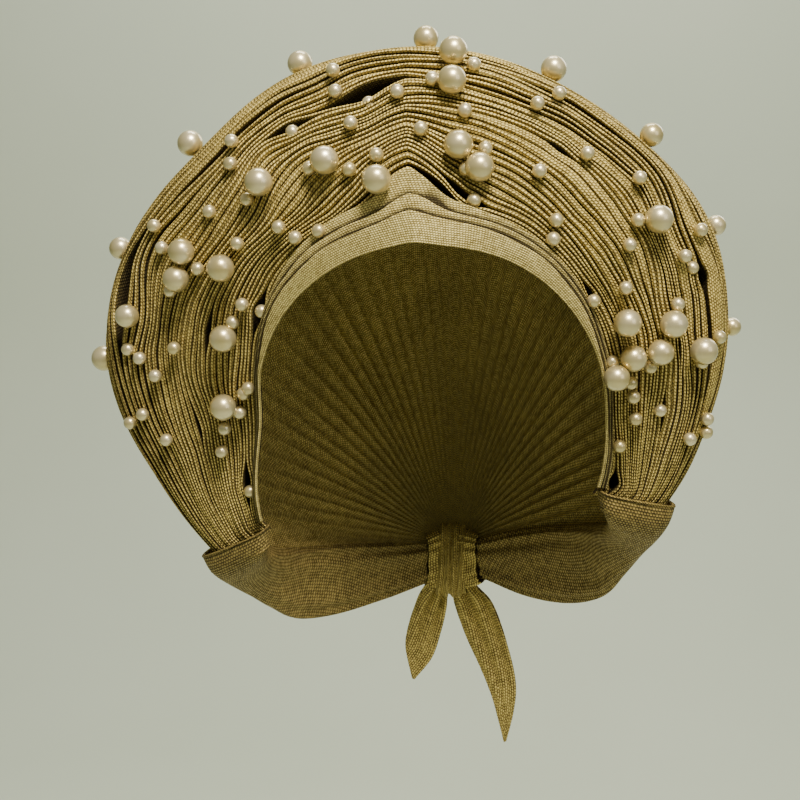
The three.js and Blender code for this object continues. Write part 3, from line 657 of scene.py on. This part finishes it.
# The rolled front edge, from deep inside to the outside: millimetres inwards and towards the nape.
ROLLED_EDGE = [(2.2, 9), (1.9, 4), (1.8, 1.2), (1.5, 0.1), (0.95, -0.55), (0.35, -0.7), (-0.15, -0.4),
               (-0.35, 0.2)]
PULLS, PULL_DEPTH = 9, 0.9  # folds drawn towards the knot: how many go round, and how deep in mm
# The weft lies looser in the wraps' cloth, so its beads are larger and more slanting, and its colours
# are the cloth's own made darker as painted shade.
shaded_wrap_cloth = woven_cloth("gold_khaki_coarse_weave_painted_shade", "#b49b56", "#38290b", 1.7, 1.45, 0.0005, 0.35)


def band(rows, share, turn, grow, squareness=0.62):
    """Points round the sections of a wound band. Share is how far along, turn is the angle round the
    section, and grow is how far each point stands out from it, in millimetres."""
    row = table_curve(rows, share)
    outer, inner, thick = row[:, 0:3], row[:, 3:6], row[:, 6]
    centre, half = (outer + inner) / 2, (outer - inner) / 2
    ahead = np.gradient(centre, axis=0)
    across = np.cross(ahead, half)
    across /= np.linalg.norm(across, axis=-1, keepdims=True)

    def squared(wave):
        return (np.sign(wave) * np.abs(wave) ** squareness)[None, :, None]

    reach = np.linalg.norm(half, axis=-1, keepdims=True)[:, None]
    out = half[:, None] / reach
    return (centre[:, None] + out * squared(np.cos(turn)) * (reach + grow[..., None])
            + across[:, None] * squared(np.sin(turn)) * (thick[:, None, None] / 2 + grow[..., None]))


for node, rows, seed in (("left_wrap", LEFT_WRAP, 41), ("right_wrap", RIGHT_WRAP, 42)):
    share = np.linspace(0, 1, WRAP_ALONG)
    turn = np.linspace(0, 2 * math.pi, WRAP_ROUND, endpoint=False)
    crumple = drift(seed, share[:, None] * 10, turn[None, :], (2.2, 1.4), 0.9)
    crumple *= np.sin(np.clip(share[:, None] * 6, 0, math.pi / 2))
    wander = drift(seed + 10, share[:, None] * 10, turn[None, :], (3, 2), 1.0)
    pulls = PULL_DEPTH * np.sin(PULLS * turn[None, :] + 2.5 * wander)
    grow = crumple + pulls * np.clip(share[:, None] * 1.6 - 0.45, 0, 1)
    surface = band(rows, share, turn, grow)
    inward = surface[0].mean(axis=0) - surface[0]
    inward /= np.linalg.norm(inward, axis=-1, keepdims=True)
    ahead = (surface[6] - surface[0]).mean(axis=0)
    ahead /= np.linalg.norm(ahead)
    rolled = np.stack([surface[0] + inward * a + ahead * b for a, b in ROLLED_EDGE])
    surface = np.concatenate([rolled, surface])
    closed = np.concatenate([surface, surface[:, :1]], axis=1)
    threads = np.stack([running_length(closed, 1), running_length(closed, 0)], axis=-1)
    wrap = grid_mesh(node + "_cloth", surface, threads, around=True)
    wrap.data.materials.append(shaded_wrap_cloth)
    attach(wrap, "root")
    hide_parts(node)
    length = float(running_length(closed.mean(axis=1, keepdims=True), 0)[-1, 0]) / 1000

# ---------------------------------------------------------------- nape knot
# The two wraps meet in a flat knot at the nape. The gathered ends of the woven cloth cross, and one of
# them is brought round the other as a short strap.

# Sections across the knot, with the same columns as the wraps' tables.
KNOT = np.array([
    (0.000, 21.8, 89.8, -125.0, 20.2, 86.8, -99.5, 12),
    (0.167, 17.6, 92.2, -127.5, 16.4, 89.4, -98.3, 16),
    (0.333, 10.5, 96.0, -130.3, 9.5, 94.0, -97.0, 20),
    (0.500, 5.5, 97.5, -131.5, 5.5, 96.0, -96.6, 21),
    (0.667, 0.5, 96.8, -130.8, 1.0, 94.8, -97.2, 20),
    (0.833, -5.6, 93.8, -129.0, -5.0, 90.8, -99.0, 16),
    (1.000, -9.9, 91.6, -127.5, -9.3, 88.6, -101.0, 12),
])
KNOT_ALONG, KNOT_ROUND, KNOT_PULLS = 61, 144, 15
WAIST = 2.0  # how far the strap draws the middle of the knot in, in millimetres

share = np.linspace(0, 1, KNOT_ALONG)
turn = np.linspace(0, 2 * math.pi, KNOT_ROUND, endpoint=False)
waist = np.exp(-((share[:, None] - 0.5) / 0.2) ** 2)
wander = drift(51, share[:, None] * 10, turn[None, :], (3, 2), 1.0)
pulls = PULL_DEPTH * np.sin(KNOT_PULLS * turn[None, :] + 1.5 * wander)
surface = band(KNOT, share, turn, pulls * (0.6 + 0.4 * waist) - WAIST * waist)
closed = np.concatenate([surface, surface[:, :1]], axis=1)
lengthwise = np.repeat(running_length(closed.mean(axis=1, keepdims=True), 0), KNOT_ROUND + 1, axis=1)
threads = np.stack([running_length(closed, 1), lengthwise], axis=-1)
knot = grid_mesh("nape_knot_cloth", surface, threads, around=True)
knot.data.materials.append(gele_cloth)
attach(knot, "root")
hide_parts("nape_knot")

# The strap is an upright ring of cloth round the middle of the knot, in millimetres.
STRAP_MIDDLE = (5.4, 96.0, -114.2)
STRAP_WIDE, STRAP_HALF_Y, STRAP_HALF_Z = 17, 11.2, 18.6
STRAP_THICK = 0.001
around = np.linspace(0, 2 * math.pi, 121)[:, None]
across = np.linspace(-1, 1, 61)[None, :]
wander = drift(52, around, across * 2, (1.1, 0.8), 1.0)
puff = 0.9 * np.sin(across * 13 + 1.2 * wander) + 1.6 * (1 - np.abs(across) ** 6)
narrow = 1 - 0.18 * np.abs(np.cos(around)) ** 2
strap_x = STRAP_MIDDLE[0] + STRAP_WIDE / 2 * across * narrow + 1.2 * np.sin(around)
strap_y = STRAP_MIDDLE[1] + (STRAP_HALF_Y + puff) * np.cos(around)
strap_z = STRAP_MIDDLE[2] + (STRAP_HALF_Z + puff) * np.sin(around)
surface = np.stack(np.broadcast_arrays(strap_x, strap_y, strap_z), axis=-1)
threads = np.stack([running_length(surface, 0), running_length(surface, 1)], axis=-1)
strap = grid_mesh("knot_strap", surface, threads)
strap.data.materials.append(gele_cloth)
double = strap.modifiers.new("cloth_thickness", "SOLIDIFY")
double.thickness = STRAP_THICK
double.offset = -1.0
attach(strap, "root")
length = float(running_length(surface, 0)[-1].mean()) / 1000

# ---------------------------------------------------------------- tails
# The two loose ends of the woven cloth leave the knot downwards. Each is folded lengthwise at the knot
# and opens to a flat point. When the tie is worn, only the longer one's tip shows from the front.

# Sections down each tail, with the same columns as the wraps' tables.
LONG_TAIL = np.array([
    (0.000, 5.0, 99, -132.2, 18.5, 96, -127.9, 6),
    (0.167, 6.5, 101, -142.0, 26.0, 98, -137.0, 4),
    (0.333, 12.0, 101, -158.0, 32.0, 99, -152.0, 3),
    (0.500, 20.0, 99, -175.0, 37.0, 97, -169.0, 2.6),
    (0.667, 26.5, 96, -190.0, 39.5, 95, -184.0, 2.4),
    (0.833, 30.5, 95, -203.0, 38.5, 95, -198.0, 2.2),
    (1.000, 33.4, 95, -215.0, 34.8, 95, -214.4, 2),
])
SHORT_TAIL = np.array([
    (0.00, -9.0, 94, -128.9, 2.6, 97.5, -132.0, 6),
    (0.25, -14.0, 98, -138.0, 1.5, 100, -142.0, 4),
    (0.50, -18.5, 99, -151.0, -1.5, 100, -156.0, 3),
    (0.75, -20.5, 98, -164.0, -6.0, 99, -170.0, 2.6),
    (1.00, -16.8, 97, -181.4, -15.4, 97, -182.0, 2),
])
TAIL_THICK = 0.0012
TUCK = np.array([-1.5, -2.0, 7.0])  # where the first row of points goes, up into the knot

for node, rows, seed in (("tail_long", LONG_TAIL, 61), ("tail_short", SHORT_TAIL, 62)):
    share = np.linspace(0, 1, 101)
    row = table_curve(rows, share)
    outer, inner = row[:, 0:3], row[:, 3:6]
    across = np.linspace(-1, 1, 41)[None, :]
    half = (outer - inner)[:, None] / 2
    centre = (outer + inner)[:, None] / 2
    ahead = np.gradient(centre[:, 0], axis=0)[:, None]
    out = np.cross(ahead, half)
    out /= np.maximum(np.linalg.norm(out, axis=-1, keepdims=True), 1e-9)
    fade = np.clip(1 - share[:, None] * 1.25, 0.0, 1)
    half_wide = np.linalg.norm(half, axis=-1)
    wander = drift(seed, share[:, None] * 10, across, (3, 1), 0.8)
    fold = 1.7 * np.sin(across * 8.5 + wander) * fade
    curl = 0.12 * half_wide * across ** 2 * np.sin(share[:, None] * 5 + seed)
    surface = centre + half * across[..., None] + out * (fold + curl)[..., None]
    surface = np.concatenate([surface[:1] + TUCK, surface])
    threads = np.stack([running_length(surface, 0), running_length(surface, 1)], axis=-1)
    tail = grid_mesh(node + "_cloth", surface, threads)
    tail.data.materials.append(gele_cloth)
    double = tail.modifiers.new("cloth_thickness", "SOLIDIFY")
    double.thickness = TAIL_THICK
    double.offset = 0.0
    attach(tail, "root")
    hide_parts(node)
    length = float(running_length(surface, 0)[-1].mean()) / 1000

# ---------------------------------------------------------------- pearls
# Imitation pearls in two sizes, sewn through the pleats one by one, with some standing off the rim.
# They are injection-moulded acrylic, dipped in pearl lacquer and drilled.

# Pearl lacquer, dipped: fine flakes give the ivory body a broad silky sheen that darkens towards the
# edge, and the clear top coat a small sharp highlight.
pearl_lacquer = bpy.data.materials.new("pearl_lacquer")
pearl_lacquer.use_nodes = True
tree = pearl_lacquer.node_tree
tree.nodes.clear()
place = add_node(tree, "TexCoord")
CLOUDS = 90.0  # patches of tint to a metre, so that one pearl differs from the next
cloud = add_node(tree, "TexNoise", {"Vector": place.outputs["Object"], "Scale": CLOUDS, "Detail": 1.0})
tint = add_node(tree, "ValToRGB", {"Fac": cloud.outputs["Fac"]})
for element, position, colour in zip(tint.color_ramp.elements, (0.3, 0.7), ("#d3bf80", "#ecdcae")):
    element.position, element.color = position, linear(colour)
shader = add_node(tree, "BsdfPrincipled", {
    "Base Color": tint.outputs["Color"], "Metallic": 0.7, "Roughness": 0.33, "IOR": 1.49,
    "Coat Weight": 1.0, "Coat Roughness": 0.1, "Coat IOR": 1.7})
add_node(tree, "OutputMaterial", {"Surface": shader})


HOLE_ANGLE = 0.1  # radians from the axis to the rim of the drilled hole
DIMPLE_OUT, DIMPLE_UP = 0.035, 0.90  # where the dimple in each end of the hole stops, in radii


def pearl_mesh(centres, sizes, axes, sides, rings):
    """Points and faces of pearls with a small dimple at each end of the drilled hole."""
    angle = np.linspace(HOLE_ANGLE, math.pi - HOLE_ANGLE, rings)
    profile = [(math.sin(a), math.cos(a)) for a in angle]
    profile = [(DIMPLE_OUT, DIMPLE_UP)] + profile + [(DIMPLE_OUT, -DIMPLE_UP)]
    turn = np.linspace(0, 2 * math.pi, sides, endpoint=False)
    points, faces = [], []
    for centre, size, axis in zip(centres, sizes, axes):
        axis = Vector(axis).normalized()
        frame_of = axis.to_track_quat("Z", "Y").to_matrix()
        first = len(points)
        for out, up in profile:
            for a in turn:
                local = Vector((out * math.cos(a), out * math.sin(a), up)) * (size / 2)
                points.append(tuple(Vector(centre) + frame_of @ local))
        for k in range(len(profile) - 1):
            for i in range(sides):
                a, b = first + k * sides + i, first + k * sides + (i + 1) % sides
                faces.append((a, a + sides, b + sides, b))
        faces.append(tuple(first + i for i in range(sides)))
        faces.append(tuple(first + (len(profile) - 1) * sides + i for i in reversed(range(sides))))
    return points, faces


def along_the_pleats(centre):
    """The way that the pleats run past a point, which is the way a pearl is threaded."""
    return Vector((-centre[2], 0.0, centre[0]))


# The small pearls that no solid stands for: clock angle, place across the halo along its arc, and how
# far a few of them are sunk into a gap, in millimetres.
MORE_PEARLS = [
    (108, .56, 0), (102, .465, 5), (95.5, .42, 0), (119.5, .50, 4.5), (106.5, .375, 0), (131, .635, 0),
    (134, .545, 0), (102, .17, 0), (119.5, .27, 0), (110, .18, 0), (136.5, .355, 0), (144.5, .47, 0),
    (156.5, .61, 0), (157, .39, 0), (164, .495, 0), (135.5, .15, 0), (134, .06, 0), (126.5, .01, 0),
    (146.5, .265, 0), (161, .125, 0), (161, .035, 3), (167, .15, 0), (90.5, .235, 0), (88.5, .52, 0),
    (81, .42, 0), (67, .58, 0), (74.5, .28, 0), (78, .165, 0), (60, .285, 0), (73.5, .055, 3),
    (49, .14, 0), (46, .065, 0), (35, .435, 0), (31.5, .33, 0), (23, .57, 0), (20, .625, 4),
    (22.5, .215, 0), (23, .04, 0), (14, .465, 0), (3, .04, 0), (0, .61, 0), (-3.5, .145, 0),
    (-7.5, .165, 0), (0.5, .27, 0), (-13.5, .195, 0), (-11, .385, 3), (-21.5, .09, 0), (-17.5, .665, 0),
    (-13, .77, 0), (178, .71, 0), (179.5, .64, 0), (176.5, .44, 0), (183, .56, 0), (197, .615, 0),
    (188.5, .08, 0), (187, .05, 0), (194, .115, 0), (197.5, .225, 0), (203, .27, 0), (215, .075, 3),
]
SMALL_PEARL, PEARL_SEAT = 6.0, 0.6  # size, and how far a pearl settles between the pleats, in mm
for kind in ("large", "small"):
    nodes = [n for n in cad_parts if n.startswith(kind + "_pearl_")]
    centres, sizes = [], []
    for node in nodes:
        lowest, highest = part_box(node)
        centres.append([(a + b) / 2 for a, b in zip(lowest, highest)])
        sizes.append(max(b - a for a, b in zip(lowest, highest)))
    if kind == "small":
        more = np.array(MORE_PEARLS)
        depth = more[:, 2:3] - SMALL_PEARL / 2 + PEARL_SEAT
        seat = halo_place(station_of(more[:, 0]), more[:, 1:2], depth, by_arc=True)[:, 0]
        centres += (seat / 1000).tolist()
        sizes += [SMALL_PEARL / 1000] * len(more)
    sides, rings = (36, 18) if kind == "large" else (24, 12)
    shape = pearl_mesh(centres, sizes, [along_the_pleats(c) for c in centres], sides, rings)
    mesh = bpy.data.meshes.new(kind + "_pearls")
    mesh.from_pydata(shape[0], [], shape[1])
    mesh.shade_smooth()
    pearls = bpy.data.objects.new(kind + "_pearls", mesh)
    bpy.context.collection.objects.link(pearls)
    pearls.data.materials.append(pearl_lacquer)
    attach(pearls, "root")
    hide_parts(*nodes)

# ---------------------------------------------------------------- floor, light and camera
# A pale matt floor curves up into a backdrop well behind the tie. One soft light stands above and in
# front, weak ones fill in from a side and from behind, and one lights the backdrop.
FLOOR_Z, FLOOR_HALF = -0.75, 12.0  # metres
COVE_Y, COVE_RADIUS, BACKDROP_TOP = 1.4, 0.8, 4.0
floor_paint = bpy.data.materials.new("matt_floor_paint")
floor_paint.use_nodes = True
tree = floor_paint.node_tree
tree.nodes.clear()
place = add_node(tree, "TexCoord")
mottle = add_node(tree, "TexNoise", {"Vector": place.outputs["Object"], "Scale": 3.0, "Detail": 2.0})
tint = add_node(tree, "ValToRGB", {"Fac": mottle.outputs["Fac"]})
for element, colour in zip(tint.color_ramp.elements, ("#d3dac2", "#dbe1cb")):
    element.color = linear(colour)
shader = add_node(tree, "BsdfPrincipled", {"Base Color": tint.outputs["Color"], "Roughness": 0.9})
add_node(tree, "OutputMaterial", {"Surface": shader})
profile = [(-FLOOR_HALF, FLOOR_Z), (COVE_Y, FLOOR_Z)]
for a in np.linspace(0, math.pi / 2, 16)[1:]:
    profile.append((COVE_Y + COVE_RADIUS * math.sin(a), FLOOR_Z + COVE_RADIUS * (1 - math.cos(a))))
profile.append((COVE_Y + COVE_RADIUS, BACKDROP_TOP))
mesh = bpy.data.meshes.new("floor")
points = [(x, y, z) for y, z in profile for x in (-FLOOR_HALF, FLOOR_HALF)]
faces = [(2 * k, 2 * k + 1, 2 * k + 3, 2 * k + 2) for k in range(len(profile) - 1)]
mesh.from_pydata(points, [], faces)
mesh.shade_smooth()
floor = bpy.data.objects.new("floor", mesh)
bpy.context.collection.objects.link(floor)
floor.data.materials.append(floor_paint)


def soft_light(name, place, aim, size, watts, colour):
    """A square area light that looks at a point."""
    lamp = bpy.data.lights.new(name, "AREA")
    lamp.shape, lamp.size, lamp.energy, lamp.color = "SQUARE", size, watts, colour
    holder = bpy.data.objects.new(name, lamp)
    holder.location = place
    holder.rotation_euler = (Vector(aim) - Vector(place)).to_track_quat("-Z", "Y").to_euler()
    bpy.context.collection.objects.link(holder)


soft_light("ceiling_light", (0.16, -0.56, 0.74), (0, 0, 0.02), 0.26, 16, (1.0, 0.96, 0.90))
soft_light("side_fill", (1.2, -1.1, 0.5), (0, 0, 0), 0.9, 3.5, (1.0, 0.98, 0.95))
soft_light("backdrop_light", (0.0, 0.9, 2.0), (0, 2.2, 0.3), 1.2, 40, (1.0, 1.0, 0.98))
soft_light("back_fill", (0.9, 1.4, 0.9), (0, 0, 0), 0.9, 7, (1.0, 0.98, 0.95))
world = bpy.data.worlds.new("studio")
bpy.context.scene.world = world
world.use_nodes = True
background = world.node_tree.nodes["Background"]
background.inputs["Color"].default_value = linear("#e9eddc")
background.inputs["Strength"].default_value = 0.3

AZIMUTH, ELEVATION, DISTANCE = math.radians(5), math.radians(6), 0.6
PIXELS_PER_RADIAN, IMAGE_WIDE = 1312.0, 800
TARGET = Vector((-0.01464, -0.0032, -0.01819))
level = math.cos(ELEVATION)
towards = Vector((math.sin(AZIMUTH) * level, -math.cos(AZIMUTH) * level, math.sin(ELEVATION)))
camera = bpy.data.cameras.new("camera")
camera.sensor_fit = "HORIZONTAL"
camera.sensor_width = 36.0
camera.lens = PIXELS_PER_RADIAN / IMAGE_WIDE * camera.sensor_width
holder = bpy.data.objects.new("camera", camera)
holder.location = TARGET + towards * DISTANCE
holder.rotation_euler = (-towards).to_track_quat("-Z", "Y").to_euler()
bpy.context.collection.objects.link(holder)
bpy.context.scene.camera = holder
